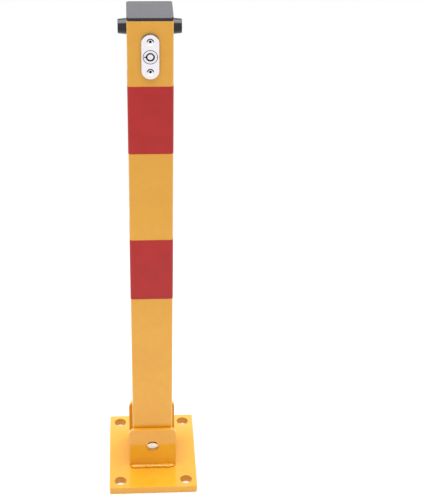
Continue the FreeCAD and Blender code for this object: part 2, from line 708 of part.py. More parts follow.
os.makedirs("parts", exist_ok=True)
for name, shape in build_parts().items():
    shape.exportStep("parts/" + name + ".step")
    size = shape.BoundBox
    print(name, len(shape.Solids), round(size.XLength, 2), round(size.YLength, 2), round(size.ZLength, 2))
print("pivot", PIVOT_Z, "lock", LOCK_Z, "bar travel", round(BAR_TRAVEL, 4))
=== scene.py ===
# %% [markdown]
# # A fold-down parking bollard
# A square steel post stands on a steel plate that is fixed to the ground. A lock near the top frees
# the post, and it folds down sideways on a pin between two ears. The solid pieces come from the CAD
# model, in metres, and they stay as they are. This lesson gives each of them its finish, and models
# the two things that the solids leave out: the ripples of the weld beads and the hollow ends of the
# pin.

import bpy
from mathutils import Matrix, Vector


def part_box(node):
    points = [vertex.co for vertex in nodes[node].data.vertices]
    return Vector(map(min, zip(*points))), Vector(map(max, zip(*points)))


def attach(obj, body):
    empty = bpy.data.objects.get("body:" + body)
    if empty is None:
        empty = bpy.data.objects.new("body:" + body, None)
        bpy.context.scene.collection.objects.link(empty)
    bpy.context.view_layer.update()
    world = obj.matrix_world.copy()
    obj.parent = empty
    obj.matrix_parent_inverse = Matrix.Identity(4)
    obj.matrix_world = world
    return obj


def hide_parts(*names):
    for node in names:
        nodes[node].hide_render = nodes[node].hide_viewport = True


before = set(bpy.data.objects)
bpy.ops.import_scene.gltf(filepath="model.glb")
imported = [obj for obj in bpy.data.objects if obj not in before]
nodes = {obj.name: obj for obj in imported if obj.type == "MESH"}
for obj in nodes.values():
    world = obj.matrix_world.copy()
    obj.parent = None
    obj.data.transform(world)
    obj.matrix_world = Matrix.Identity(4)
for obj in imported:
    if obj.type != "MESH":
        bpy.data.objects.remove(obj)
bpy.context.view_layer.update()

# %% [markdown]
# ## Units
# Blender works in metres and this object is drawn in millimetres, so one value turns one into the
# other. The places of the pieces are read from the frame, and never typed in again.

# %% Imports and units
import math
import random

import bmesh
import bpy
from mathutils import Matrix, Vector

MM = 0.001
scene = bpy.context.scene


def middle(node):
    """Centre of a CAD node's box."""
    low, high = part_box(node)
    return (low + high) / 2.0


print("post centre", [round(v, 4) for v in middle("post_tube")])

# %% [markdown]
# ## Camera
# A photograph keeps the place and the lens that it was taken with in the way its edges run
# together. Both were worked out from the edges of the plate, the post and the bands: the camera
# stands 1.33 m in front of the post and 1.13 m up, and looks down at 31 degrees. It could be aimed
# by eye, but a fit puts every edge where the photograph has it. The lens comes in pixels of the
# photograph, and Blender wants millimetres on a 36 mm sensor, which spans the longer side of the
# picture.

# %% Camera
PHOTO_LONG_SIDE = 495
FOCAL_PX = 1311.3
SENSOR_MM = 36.0
CAMERA_PLACE = Vector((-0.02393, -1.32813, 1.12654))
CAMERA_YAW = math.radians(4.426)
CAMERA_PITCH = math.radians(31.27)
CAMERA_ROLL = math.radians(1.413)


def camera_turn():
    """Rotation of the camera from its yaw, its pitch below the horizon and its roll."""
    east = math.sin(CAMERA_YAW)
    north = math.cos(CAMERA_YAW)
    level = math.cos(CAMERA_PITCH)
    ahead = Vector((east * level, north * level, -math.sin(CAMERA_PITCH)))
    right = Vector((north, -east, 0.0))
    roll = Matrix.Rotation(CAMERA_ROLL, 3, -ahead)
    return Matrix((roll @ right, roll @ right.cross(ahead), -ahead)).transposed()


camera_data = bpy.data.cameras.new("camera")
camera_data.sensor_width = SENSOR_MM
camera_data.lens = FOCAL_PX / PHOTO_LONG_SIDE * SENSOR_MM
camera_data.clip_start = 0.05
camera_data.clip_end = 50.0
camera = bpy.data.objects.new("camera", camera_data)
camera.matrix_world = Matrix.Translation(CAMERA_PLACE) @ camera_turn().to_4x4()
scene.collection.objects.link(camera)
scene.camera = camera
print("lens", round(camera_data.lens, 2), "mm")

# %% [markdown]
# ## Colours and nodes
# A finish is a small graph of shader nodes. It could be clicked together in the editor, but in a
# script two helpers are enough. One turns a hex colour, as a paint chart gives it, into the linear
# light values that Blender works with. The other adds a node of any kind with its settings, values
# and links in a single call, so that each node takes one line and says where its inputs come from.
# Some nodes have several sockets of the same name. If only one of them is in use, the name means
# that one, and otherwise a number gives the socket's place. A node that is handed on as a value is
# linked by its first output in use.

# %% Colour and node helpers


def linear(hex_colour):
    """Linear RGBA from an sRGB hex colour, by the curve of the sRGB standard."""
    values = []
    for start in (1, 3, 5):
        value = int(hex_colour[start : start + 2], 16) / 255.0
        values.append(value / 12.92 if value <= 0.04045 else ((value + 0.055) / 1.055) ** 2.4)
    return (*values, 1.0)


def add(tree, kind, inputs=None, **settings):
    """A new node with its settings, and its inputs set, or linked to a socket or a node."""
    node = tree.nodes.new("ShaderNode" + kind)
    for key, value in settings.items():
        setattr(node, key, value)
    in_use = {socket.name: socket for socket in node.inputs if socket.enabled}
    for key, value in (inputs or {}).items():
        socket = node.inputs[key] if isinstance(key, int) else in_use[key]
        if isinstance(value, bpy.types.Node):
            value = next(output for output in value.outputs if output.enabled)
        if isinstance(value, bpy.types.NodeSocket):
            tree.links.new(value, socket)
        else:
            socket.default_value = value
    return node


print("the red of the bands as light", [round(v, 3) for v in linear("#B21A18")])

# %% [markdown]
# ## Start and end of a finish
# Nearly every finish starts as an empty graph and ends in the Principled shader. All patterns read Object
# coordinates. Every piece sits at the origin, so these are metres on the real object, and the scale
# of a pattern is one over the real size of its grains. A noise seldom leaves the span from 0.3 to
# 0.7, so most finishes stretch that span before it drives a colour or a roughness.

# %% Helpers for a finish
NOISE_SPAN = {"From Min": 0.3, "From Max": 0.7}


def new_finish(name):
    """An empty material, its node tree and the Object coordinates that its patterns read."""
    material = bpy.data.materials.new(name)
    material.use_nodes = True
    tree = material.node_tree
    tree.nodes.clear()
    return material, tree, add(tree, "TexCoord").outputs["Object"]


def close_finish(tree, colour, roughness, relief, **values):
    """The shader with its colour, roughness and relief, and the values that are even all over."""
    inputs = {"Base Color": colour, "Roughness": roughness, "Normal": relief}
    inputs.update({key.replace("_", " "): value for key, value in values.items()})
    add(tree, "OutputMaterial", {"Surface": add(tree, "BsdfPrincipled", inputs)})


print("noise is stretched from", list(NOISE_SPAN.values()))

# %% [markdown]
# ## Yellow powder coat
# The plate, the ears and the tube are painted with polyester powder, which is sprayed on dry and
# baked until it flows. That gives the eye an even warm yellow under a clear gloss, and orange peel,
# a faint swell that never quite levels out. One flat colour would look like plastic. So wide clouds
# drift between two shades, smaller ones bring in a third where the coat is thin, a coarse bump makes
# the peel, and a fine one keeps it from looking regular. The gloss is a coat layer over a dull base,
# because the top of such a paint is a skin of clear resin with hardly any pigment in it.

# %% Powder coat
DRIFT = 60.0 * MM
THIN_CLOUD = 9.0 * MM
THIN_SHARE = 0.25
GLOSS_CLOUD = 14.0 * MM
PEEL = 2.2 * MM
PEEL_DEPTH = 0.035 * MM
SPECK = 0.5 * MM
SPECK_DEPTH = 0.006 * MM


def powder_coat(name, shades, thin, clear):
    """Baked polyester powder of two shades and a thin one, under a clear skin of some weight."""
    material, tree, place = new_finish(name)
    drift = add(tree, "TexNoise", {"Vector": place, "Scale": 1.0 / DRIFT, "Detail": 3.0})
    drift = add(tree, "MapRange", {"Value": drift, **NOISE_SPAN})
    blend = {"Factor": drift, "A": linear(shades[0]), "B": linear(shades[1])}
    colour = add(tree, "Mix", blend, data_type="RGBA")
    spots = add(tree, "TexNoise", {"Vector": place, "Scale": 1.0 / THIN_CLOUD})
    spots = add(tree, "MapRange", {"Value": spots, **NOISE_SPAN, "To Max": THIN_SHARE})
    colour = add(tree, "Mix", {"Factor": spots, "A": colour, "B": linear(thin)}, data_type="RGBA")
    gloss = add(tree, "TexNoise", {"Vector": place, "Scale": 1.0 / GLOSS_CLOUD})
    gloss = add(tree, "MapRange", {"Value": gloss, **NOISE_SPAN, "To Min": 0.30, "To Max": 0.42})
    peel = add(tree, "TexNoise", {"Vector": place, "Scale": 1.0 / PEEL, "Detail": 1.0})
    peel = add(tree, "Bump", {"Height": peel, "Distance": PEEL_DEPTH})
    speck = add(tree, "TexNoise", {"Vector": place, "Scale": 1.0 / SPECK, "Detail": 1.0})
    speck = add(tree, "Bump", {"Height": speck, "Distance": SPECK_DEPTH, "Normal": peel})
    skin = {"Coat_Weight": clear, "Coat_Roughness": 0.05, "Coat_IOR": 1.56}
    close_finish(tree, colour, gloss, speck, IOR=1.5, Specular_IOR_Level=0.1, **skin)
    return material


# Open faces have the full coat: an even yellow with a clear gloss.
yellow_paint = powder_coat("yellow_powder_coat", ("#E9A424", "#EFAE2D"), "#E29B20", 1.0)
# Little powder gets into a hole, so its wall is browner and half as glossy, and its darker shades are
# partly painted shade for the inside of the holes.
thin_paint_and_shade = powder_coat("thin_powder_coat_and_shade", ("#DCA236", "#E3AA3E"), "#D0952C", 0.45)
# The rim and the hollow of the pin get a paler copy of the coat, as painted light that keeps the wall of
# the hollow as bright as the open ear.
pale_painted_light = powder_coat("pale_powder_coat_painted_light", ("#FFC64E", "#FFCC5C"), "#FABE44", 1.0)
print("made", yellow_paint.name, thin_paint_and_shade.name, pale_painted_light.name)

# %% [markdown]
# ## Red reflective film
# The two bands are self-adhesive film, with tiny glass beads cast under a clear face. Modelling them
# would take millions of spheres, and in plain studio light they only make the red a little soft and
# grainy. So the film is a satin red plastic, and a Voronoi pattern, whose cells pack like beads,
# gives it a bump. The real beads are under 0.1 mm across. They are drawn at 0.6 mm, because smaller
# ones wouldn't show.

# %% Red reflective film
FILM_CLOUD = 18.0 * MM
BEAD = 0.6 * MM
BEAD_DEPTH = 0.01 * MM


def reflective_film():
    """Satin red film with a fine bead grain."""
    material, tree, place = new_finish("red_reflective_film")
    cloud = add(tree, "TexNoise", {"Vector": place, "Scale": 1.0 / FILM_CLOUD, "Detail": 3.0})
    share = add(tree, "MapRange", {"Value": cloud, **NOISE_SPAN})
    blend = {"Factor": share, "A": linear("#B21A18"), "B": linear("#BD201D")}
    colour = add(tree, "Mix", blend, data_type="RGBA")
    satin = add(tree, "MapRange", {"Value": cloud, **NOISE_SPAN, "To Min": 0.38, "To Max": 0.5})
    beads = add(tree, "TexVoronoi", {"Vector": place, "Scale": 1.0 / BEAD})
    beads = add(tree, "Bump", {"Height": beads, "Distance": BEAD_DEPTH})
    close_finish(tree, colour, satin, beads, IOR=1.45)
    return material


red_film = reflective_film()
print("made", red_film.name)

# %% [markdown]
# ## Moulded plastic and rubber
# The cap, the bumpers and the guides are moulded, so they repeat the skin of their mould: smooth, with a
# very fine even grain. A scan of a real one could be used, but at this distance a noise looks the same
# and needs no picture. The shade drifts a little, the roughness changes in patches, and the grain is a
# bump. The grain of a real mould is about 0.1 mm wide, and it is drawn seven times as coarse, so that it
# shows. The black that paints shade into the recesses of the lock has the same build, one dark body with
# an uneven surface, so the same function makes it.

# %% Plastics, rubber and painted shade
SHADE_CLOUD = 25.0 * MM
SHINE_CLOUD = 8.0 * MM
MOULD_GRAIN = 0.7 * MM


def moulded(name, shades, roughness, grain_depth, **values):
    """Plastic or rubber of two close shades, with the fine grain of its mould."""
    material, tree, place = new_finish(name)
    cloud = add(tree, "TexNoise", {"Vector": place, "Scale": 1.0 / SHADE_CLOUD, "Detail": 3.0})
    share = add(tree, "MapRange", {"Value": cloud, **NOISE_SPAN})
    blend = {"Factor": share, "A": linear(shades[0]), "B": linear(shades[1])}
    colour = add(tree, "Mix", blend, data_type="RGBA")
    shine = add(tree, "TexNoise", {"Vector": place, "Scale": 1.0 / SHINE_CLOUD})
    ends = {"To Min": roughness[0], "To Max": roughness[1]}
    shine = add(tree, "MapRange", {"Value": shine, **NOISE_SPAN, **ends})
    grain = add(tree, "TexNoise", {"Vector": place, "Scale": 1.0 / MOULD_GRAIN})
    grain = add(tree, "Bump", {"Height": grain, "Distance": grain_depth})
    close_finish(tree, colour, shine, grain, **values)
    return material


# Injection moulded ABS: black, and smooth enough to mirror the pale room as a soft grey.
cap_plastic = moulded("moulded_abs_cap", ("#130F1E", "#1A1528"), (0.16, 0.22), 0.0008 * MM, IOR=1.5)
# Moulded rubber: nearly black, with a soft sheen along its top.
bumper_rubber = moulded("moulded_black_rubber", ("#0C0808", "#120D0D"), (0.16, 0.24), 0.003 * MM, IOR=1.5)
# Moulded nylon without a pigment: creamy and waxy.
guide_nylon = moulded("natural_nylon", ("#D9D5C6", "#E2DECF"), (0.4, 0.5), 0.008 * MM, IOR=1.53)
# Painted shade for the recesses and joints of the lock: black, and so rough that it mirrors nothing.
NO_MIRROR = {"IOR": 1.4, "Specular_IOR_Level": 0.03}
painted_shade_black = moulded("painted_shade_black", ("#030303", "#070605"), (0.6, 0.75), 0.01 * MM, **NO_MIRROR)
print("made", [finish.name for finish in (cap_plastic, bumper_rubber, guide_nylon, painted_shade_black)])

# %% [markdown]
# ## Plated and bare metals
# The nuts, washers and inner parts are plated, oiled or cast. The colour of a metal is the colour of
# what it mirrors, so all of them are full metals, and the shader's own IOR stays. Their skins are
# made of crystals, which a plain noise would blur into clouds. The cells of a Voronoi pattern are
# flat patches with clear borders, as crystals are, so each cell has its own shade and roughness, and
# a cloud of noise fades them here and there. Most real crystals are too fine to see from a step
# away, so they are drawn one to four millimetres wide.

# %% Plated metals
METAL_CLOUD = 12.0 * MM
METAL_WAVE = 0.01 * MM


def plated_metal(name, shades, roughness, crystal):
    """Metal in small patches between two shades and two degrees of roughness."""
    material, tree, place = new_finish(name)
    patches = add(tree, "TexVoronoi", {"Vector": place, "Scale": 1.0 / crystal})
    patches = add(tree, "SeparateColor", {"Color": patches.outputs["Color"]})
    cloud = add(tree, "TexNoise", {"Vector": place, "Scale": 1.0 / METAL_CLOUD, "Detail": 3.0})
    tint = add(tree, "Math", {0: patches, 1: cloud}, operation="MULTIPLY")
    blend = {"Factor": tint, "A": linear(shades[1]), "B": linear(shades[0])}
    colour = add(tree, "Mix", blend, data_type="RGBA")
    rough = add(tree, "MapRange", {"Value": patches, "To Min": roughness[0], "To Max": roughness[1]})
    wave = add(tree, "Bump", {"Height": cloud, "Distance": METAL_WAVE})
    close_finish(tree, colour, rough, wave, Metallic=1.0)
    return material


# Bright zinc plating: bluish white, milky, with faint crystals.
zinc = plated_metal("bright_zinc_plating", ("#A7ABB3", "#DCDEE2"), (0.24, 0.42), 1.6 * MM)
# Turned bushes and rolled pins, only oiled: grey and even.
oiled_steel = plated_metal("oiled_steel", ("#77787A", "#9A9B9E"), (0.3, 0.45), 4.0 * MM)
# Turned brass: yellow and fairly bright.
brass = plated_metal("turned_brass", ("#9C7A35", "#C9A45A"), (0.25, 0.35), 3.0 * MM)
# The cast edge of the lock plate, which the polish hardly reaches: dark, grainy and dull.
dull_zinc = plated_metal("dull_zinc_casting", ("#4A4B50", "#6A6B71"), (0.45, 0.6), 1.0 * MM)
print("made", [finish.name for finish in (zinc, oiled_steel, brass, dull_zinc)])

# %% [markdown]
# ## Chrome
# The lock and its plate are chrome plated, and were polished with a belt that ran one way and left
# fine lines. The shader's own anisotropy would smear the highlights and show no line. So a Mapping
# node shrinks the coordinates along one axis, which stretches the round grains of a noise into
# lines, and they drive the shade, the roughness and a bump together. The real lines are a few
# hundredths of a millimetre wide, and they are drawn half a millimetre wide, so that they show.

# %% Chrome
LINE_WIDTH = 0.5 * MM
LINE_DEPTH = 0.003 * MM
SHRINK = 0.03
ALONG_X = (SHRINK, 1.0, 1.0)
ALONG_Z = (1.0, 1.0, SHRINK)


def polished_chrome(name, shades, roughness, along):
    """Chrome plating with polishing lines along the axis whose coordinate is shrunk."""
    material, tree, place = new_finish(name)
    shrunk = add(tree, "Mapping", {"Vector": place, "Scale": along})
    pattern = {"Vector": shrunk, "Scale": 1.0 / LINE_WIDTH, "Detail": 3.0, "Roughness": 0.6}
    lines = add(tree, "TexNoise", pattern)
    share = add(tree, "MapRange", {"Value": lines, **NOISE_SPAN})
    blend = {"Factor": share, "A": linear(shades[0]), "B": linear(shades[1])}
    colour = add(tree, "Mix", blend, data_type="RGBA")
    ends = {"To Min": roughness[0], "To Max": roughness[1]}
    rough = add(tree, "MapRange", {"Value": lines, **NOISE_SPAN, **ends})
    scratch = add(tree, "Bump", {"Height": lines, "Distance": LINE_DEPTH})
    close_finish(tree, colour, rough, scratch, Metallic=1.0)
    return material


# Satin chrome: white and soft, with lines up and down the plate.
satin_chrome = polished_chrome("satin_chrome_plate", ("#F0EDF4", "#FCFAFD"), (0.2, 0.32), ALONG_Z)
# Bright chrome: a clearer mirror, with lines across the lock.
bright_chrome = polished_chrome("bright_chrome_lock", ("#E6E4E9", "#F8F6FA"), (0.1, 0.2), ALONG_X)
print("made", satin_chrome.name, bright_chrome.name)

# %% [markdown]
# ## Turned steel
# A lathe leaves rings around the axis of what it turns. They could be cut into the mesh, but that
# would take thousands of faces for a change of gloss. A Wave texture draws rings around the origin,
# so a Mapping node first moves the pin's axis there. The tool's marks are about a tenth of a
# millimetre apart, and the rings are drawn some forty times as coarse, as the slow change of gloss
# that a turned face shows from a step away. The steel looks warm between the painted ears, and a
# little stained.

# %% Turned steel
RING = 4.4 * MM
RING_DEPTH = 0.002 * MM
STAIN_CLOUD = 1.6 * MM
# A Wave texture of scale 1 draws this many rings to a metre.
RINGS_AT_SCALE_ONE = 20.0 / math.tau


def turned_steel(name, shades, roughness, centre):
    """Turned steel with rings around an axis along Y through a centre."""
    material, tree, place = new_finish(name)
    centred = add(tree, "Mapping", {"Vector": place, "Location": -centre})
    pattern = {"Vector": centred, "Scale": 1.0 / RING / RINGS_AT_SCALE_ONE, "Distortion": 0.3}
    rings = add(tree, "TexWave", pattern, wave_type="RINGS", rings_direction="Y").outputs["Fac"]
    cloud = add(tree, "TexNoise", {"Vector": place, "Scale": 1.0 / STAIN_CLOUD})
    share = add(tree, "MapRange", {"Value": cloud, **NOISE_SPAN})
    blend = {"Factor": share, "A": linear(shades[0]), "B": linear(shades[1])}
    colour = add(tree, "Mix", blend, data_type="RGBA")
    rough = add(tree, "MapRange", {"Value": rings, "To Min": roughness[0], "To Max": roughness[1]})
    groove = add(tree, "Bump", {"Height": rings, "Distance": RING_DEPTH})
    close_finish(tree, colour, rough, groove, Metallic=1.0)
    return material


# Turned steel, wiped but not quite clean: warm, bright and faintly ringed.
turned_pin = turned_steel("turned_pivot_steel", ("#F8EBDD", "#CDBBA8"), (0.2, 0.32), middle("pivot_pin"))
print("made", turned_pin.name)

# %% [markdown]
# ## Dressing the CAD pieces
# Each CAD piece keeps its mesh and gets one finish. A table of finishes and names is easier to check
# than thirty separate lines, and the script stops if a piece was forgotten. Some pieces have a second
# finish on a few of their faces, and those faces are picked by a test of where they are and which
# way they look.

# %% Give every piece its finish
FINISHES = {
    yellow_paint: ("base_plate", "front_ear", "rear_ear", "front_weld", "rear_weld", "post_tube"),
    red_film: ("upper_red_band", "lower_red_band"),
    cap_plastic: ("top_cap",),
    bumper_rubber: ("left_bumper", "right_bumper"),
    guide_nylon: ("lower_bar_guide", "upper_bar_guide"),
    zinc: (
        "bumper_washers",
        "bumper_screws",
        "bumper_nuts",
        "escutcheon_nuts",
        "lock_nut",
        "crank",
        "crank_screw",
        "locking_bar",
    ),
    oiled_steel: ("front_bush", "rear_bush", "pivot_roll_pins", "crank_pin"),
    brass: ("lock_tumblers",),
    satin_chrome: ("escutcheon", "escutcheon_screws"),
    bright_chrome: ("lock_barrel", "lock_plug"),
    turned_pin: ("pivot_pin",),
}


def dress(piece, material):
    """Gives a piece its only material."""
    piece.data.materials.clear()
    piece.data.materials.append(material)


def dress_faces(piece, material, chosen):
    """Gives a further material to the faces whose centre and normal pass a test."""
    mesh = piece.data
    mesh.materials.append(material)
    faces = [face for face in mesh.polygons if chosen(face.center, face.normal)]
    for face in faces:
        face.material_index = len(mesh.materials) - 1
    print(piece.name, "has", len(faces), "faces in", material.name)


dressed = set()
for material, names in FINISHES.items():
    for name in names:
        dress(nodes[name], material)
        dressed.add(name)
forgotten = sorted(set(nodes) - dressed)
assert not forgotten, forgotten
print("dressed", len(dressed), "pieces")

# %% [markdown]
# ## Walls of the holes in the plate
# Powder is drawn to a part by its charge. It settles on edges and open faces first, and little of it gets
# down into a hole, so the walls of the plate's holes have the thin coat. Its darker shades are partly
# painted shade for the inside of the holes. A mask could darken them, but they are whole faces of the
# mesh, so a second material is enough. They are the upright faces of the plate that lie inside its rim.

# %% Thin paint in the holes
PLATE_RIM = 3.0 * MM
# A face looks sideways from an axis if less than this share of its normal lies along it.
SIDEWAYS = 0.5

plate_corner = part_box("base_plate")[1]


def in_plate_hole(centre, normal):
    """The wall of a hole in the plate."""
    from_sides = plate_corner.x - abs(centre.x)
    from_ends = plate_corner.y - abs(centre.y)
    return abs(normal.z) < SIDEWAYS and min(from_sides, from_ends) > PLATE_RIM


# The hole walls get the thin coat, which is partly painted shade.
dress_faces(nodes["base_plate"], thin_paint_and_shade, in_plate_hole)

# %% [markdown]
# ## Distances on the lock
# The lock, its two screws and the sinks they sit in are all round about some axis along Y. So two
# distances are enough to say where a face is: one from the lock's axis, and one from the nearer
# screw's.

# %% Distances on the lock
SCREW_HEAD_RADIUS = 3.0 * MM

lock_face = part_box("escutcheon")[0].y
lock_z = middle("lock_barrel").z
screw_low, screw_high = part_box("escutcheon_screws")
lower_screw_z = screw_low.z + SCREW_HEAD_RADIUS
upper_screw_z = screw_high.z - SCREW_HEAD_RADIUS


def from_axis(point, height):
    """Distance from an axis along Y at a height."""
    return math.hypot(point.x, point.z - height)


def from_screw(point):
    """Distance from the axis of the nearer screw of the lock plate."""
    return min(from_axis(point, lower_screw_z), from_axis(point, upper_screw_z))


print("screws", round((upper_screw_z - lower_screw_z) / MM, 2), "mm apart")

# %% [markdown]
# ## Painted shade on the screw heads
# Painted shade darkens the mouth of each screw's socket, and the upper rim of its head just under the
# upper lip of its countersink, where the lip's shadow falls. That is a mark on one flat face, so no face
# can be picked for it. It is drawn by the distance from the screw's axis instead, over a copy of the
# chrome. The two screws are alike, so the height is wrapped round from one to the other, and one mark
# serves both.

# %% Painted shade on the screw heads
# Painted shade round the socket and under the lip: its reaches, its fades and its colour.
SOCKET_SHADE_RADIUS = 1.4 * MM
LIP_RADIUS = 2.5 * MM
SHADE_FADE = 0.3 * MM
LIP_FADE = 0.9 * MM
PAINTED_SHADE_ON_CHROME = "#0A0908"


def start_painted_shade(clean, name):
    """A copy of a finish, with its tree and the Object coordinates to draw painted shade by."""
    material = clean.copy()
    material.name = name
    tree = material.node_tree
    return material, tree, add(tree, "TexCoord").outputs["Object"]


def lay_painted_shade(tree, amount, hex_colour):
    """Blends a colour of painted shade over the colour of the shader, by an amount from 0 to 1."""
    colour = tree.nodes["Principled BSDF"].inputs["Base Color"]
    blend = {"Factor": amount, "A": colour.links[0].from_socket, "B": linear(hex_colour)}
    shaded_over = add(tree, "Mix", blend, data_type="RGBA")
    tree.links.new(next(output for output in shaded_over.outputs if output.enabled), colour)


def shaded_screw_heads():
    """Chrome with painted shade in the middle and under the upper lip of a screw head."""
    material, tree, place = start_painted_shade(satin_chrome, "painted_shade_screw_chrome")
    half_pitch = (upper_screw_z - lower_screw_z) / 2.0
    split = add(tree, "SeparateXYZ", {"Vector": place})
    height = add(tree, "Math", {0: split.outputs["Z"], 1: upper_screw_z}, operation="SUBTRACT")
    height = add(tree, "Math", {0: height, 1: half_pitch, 2: -half_pitch}, operation="WRAP")
    spot = add(tree, "CombineXYZ", {"X": split.outputs["X"], "Z": height})
    reach = add(tree, "VectorMath", {0: spot}, operation="LENGTH")
    near = {"From Min": SOCKET_SHADE_RADIUS, "From Max": SOCKET_SHADE_RADIUS + SHADE_FADE}
    mouth = add(tree, "MapRange", {"Value": reach, **near, "To Min": 1.0, "To Max": 0.0})
    far = {"From Min": LIP_RADIUS - SHADE_FADE, "From Max": LIP_RADIUS}
    rim = add(tree, "MapRange", {"Value": reach, **far})
    upper = add(tree, "MapRange", {"Value": height, "From Max": LIP_FADE})
    lip = add(tree, "Math", {0: rim, 1: upper}, operation="MULTIPLY")
    lay_painted_shade(tree, add(tree, "Math", {0: mouth, 1: lip}, operation="MAXIMUM"), PAINTED_SHADE_ON_CHROME)
    return material


dress(nodes["escutcheon_screws"], shaded_screw_heads())
print("shaded_over", nodes["escutcheon_screws"].name)

# %% [markdown]
# ## Dark places of the lock
# The front of the lock is bright, but polish and plating don't reach everywhere, so the edge of the lock
# plate stays dull. The keyway, the sockets of the screws, the narrow joint round the barrel with its
# bevel, the overhung walls of the countersinks, the sides of the plug and the tips of the tumblers are
# painted black, as painted shade for the recesses where light hardly falls. Painting a mask would do it,
# but all of these are whole faces of the CAD pieces, so each gets a test of its distance and its normal.
# The flat fronts look straight along Y, which tells them from walls and bevels.

# %% Tests for the faces of the lock
SINK_RADIUS = 4.4 * MM
WINDOW_RADIUS = 8.6 * MM
SOCKET_RADIUS = 1.4 * MM
SOCKET_START = 0.05 * MM
BARREL_BEVEL = 7.0 * MM
KEYWAY_RADIUS = 7.2 * MM
KEYWAY_START = 0.3 * MM
PLUG_FRONT = 3.0 * MM
# A flat front has more than this share of its normal along Y, and an edge has less than the next.
STRAIGHT = 0.95
EDGE_ON = 0.3
# A face that looks up has more than this share along Z, and a level or overhung one less than the next.
UPWARDS = 0.25
LEVEL = 0.1


def plate_edge(centre, normal):
    """The edge of the lock plate, and its rounded rim where it looks up."""
    at_edge = abs(normal.y) < EDGE_ON or normal.z > UPWARDS
    return at_edge and from_screw(centre) >= SINK_RADIUS


def overhung_sink(centre, normal):
    """The walls of a countersink that look level or down."""
    return from_screw(centre) < SINK_RADIUS and normal.y > -STRAIGHT and normal.z < LEVEL


def barrel_joint(centre, normal):
    """The wall and bevel of the window that the barrel sits in."""
    return from_axis(centre, lock_z) < WINDOW_RADIUS and normal.y > -STRAIGHT


def screw_socket(centre, normal):
    """The inside of a screw's hexagon socket."""
    return from_screw(centre) < SOCKET_RADIUS and centre.y > screw_low.y + SOCKET_START


def barrel_bevel(centre, normal):
    """The bevel round the front of the barrel."""
    return from_axis(centre, lock_z) > BARREL_BEVEL and -STRAIGHT < normal.y < -SIDEWAYS


def keyway(centre, normal):
    """The inside of the keyway and its notch, from just behind the front."""
    return from_axis(centre, lock_z) < KEYWAY_RADIUS and centre.y > lock_face + KEYWAY_START


def tumbler_tip(centre, normal):
    """The front end of a tumbler pin."""
    return normal.y < -SIDEWAYS


def plug_side(centre, normal):
    """Everything on the plug but its flat front."""
    return from_axis(centre, lock_z) > PLUG_FRONT and normal.y > -STRAIGHT


print("flat fronts look within", round(math.degrees(math.acos(STRAIGHT))), "degrees of straight")

# %% [markdown]
# ## Dull and black faces
# A table says which test gives which finish to which piece. A later line wins where two tests pick
# the same face.

# %% Dull and black faces
# The black on these faces is painted shade, for the recesses and joints where light hardly falls.
LOCK_FACES = (
    ("escutcheon", dull_zinc, plate_edge),
    ("escutcheon", painted_shade_black, overhung_sink),
    ("escutcheon", painted_shade_black, barrel_joint),
    ("escutcheon_screws", painted_shade_black, screw_socket),
    ("lock_barrel", painted_shade_black, barrel_bevel),
    ("lock_barrel", painted_shade_black, keyway),
    ("lock_tumblers", painted_shade_black, tumbler_tip),
    ("lock_plug", painted_shade_black, plug_side),
)

for name, material, chosen in LOCK_FACES:
    dress_faces(nodes[name], material, chosen)

# %% [markdown]
# ## Pivot pin
# The pin is turned on a lathe from round bar, and each end is drilled hollow, like the end of a
# tubular rivet. It could be cut out of a cylinder, but the lathe's own way is shorter: an outline of
# a few points, spun round the pin's axis. The outline runs from the bottom of one hollow, over its
# wall, its rim and the side of the pin, to the bottom of the other.

# %% Outline of the pin
PIN_CHAMFER = 0.3 * MM
CUP_WALL = 0.6 * MM
CUP_DEPTH = 4.5 * MM
DRILL_POINT = math.radians(122.0)

pin_low, pin_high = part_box("pivot_pin")
pin_centre = (pin_low + pin_high) / 2.0
pin_radius = (pin_high.x - pin_low.x) / 2.0
pin_half = (pin_high.y - pin_low.y) / 2.0


def pin_outline():
    """Points as a distance from the pin's axis and a place along it."""
    cup = pin_radius - CUP_WALL
    bottom = pin_half - CUP_DEPTH
    end = [
        (pin_radius, 0.0),
        (pin_radius, pin_half - PIN_CHAMFER),
        (pin_radius - PIN_CHAMFER, pin_half),
        (cup, pin_half),
        (cup, bottom),
        (0.0, bottom - cup / math.tan(DRILL_POINT / 2.0)),
    ]
    return [(out, -along) for out, along in reversed(end)] + end[1:]


print("pin", round(2.0 * pin_radius / MM, 2), "mm thick and", round(2.0 * pin_half / MM, 2), "mm long")

# %% [markdown]
# ## Spinning the pin
# The spin operator turns the outline once round and merges the last step with the first. The points
# on the axis are merged too, so that the bottoms of both hollows are closed. A sharp angle keeps the
# rim crisp while the round walls are shaded smooth. The new pin takes the place of the plain one,
# which stays in the simulation.

# %% Spin the pin
PIN_STEPS = 96
PIN_SHARP = math.radians(25.0)
SAME_POINT = 0.001 * MM


def spun_mesh(name, outline, centre):
    """Closed mesh of an outline that is spun round an axis along Y through a centre."""
    shape = bmesh.new()
    points = [shape.verts.new(centre + Vector((out, along, 0.0))) for out, along in outline]
    edges = [shape.edges.new(pair) for pair in zip(points, points[1:])]
    bmesh.ops.spin(
        shape,
        geom=points + edges,
        cent=centre,
        axis=(0.0, 1.0, 0.0),
        angle=math.tau,
        steps=PIN_STEPS,
        use_merge=True,
    )
    bmesh.ops.remove_doubles(shape, verts=shape.verts, dist=SAME_POINT)
    bmesh.ops.recalc_face_normals(shape, faces=shape.faces)
    for face in shape.faces:
        face.smooth = True
    mesh = bpy.data.meshes.new(name)
    shape.to_mesh(mesh)
    shape.free()
    mesh.set_sharp_from_angle(angle=PIN_SHARP)
    return mesh


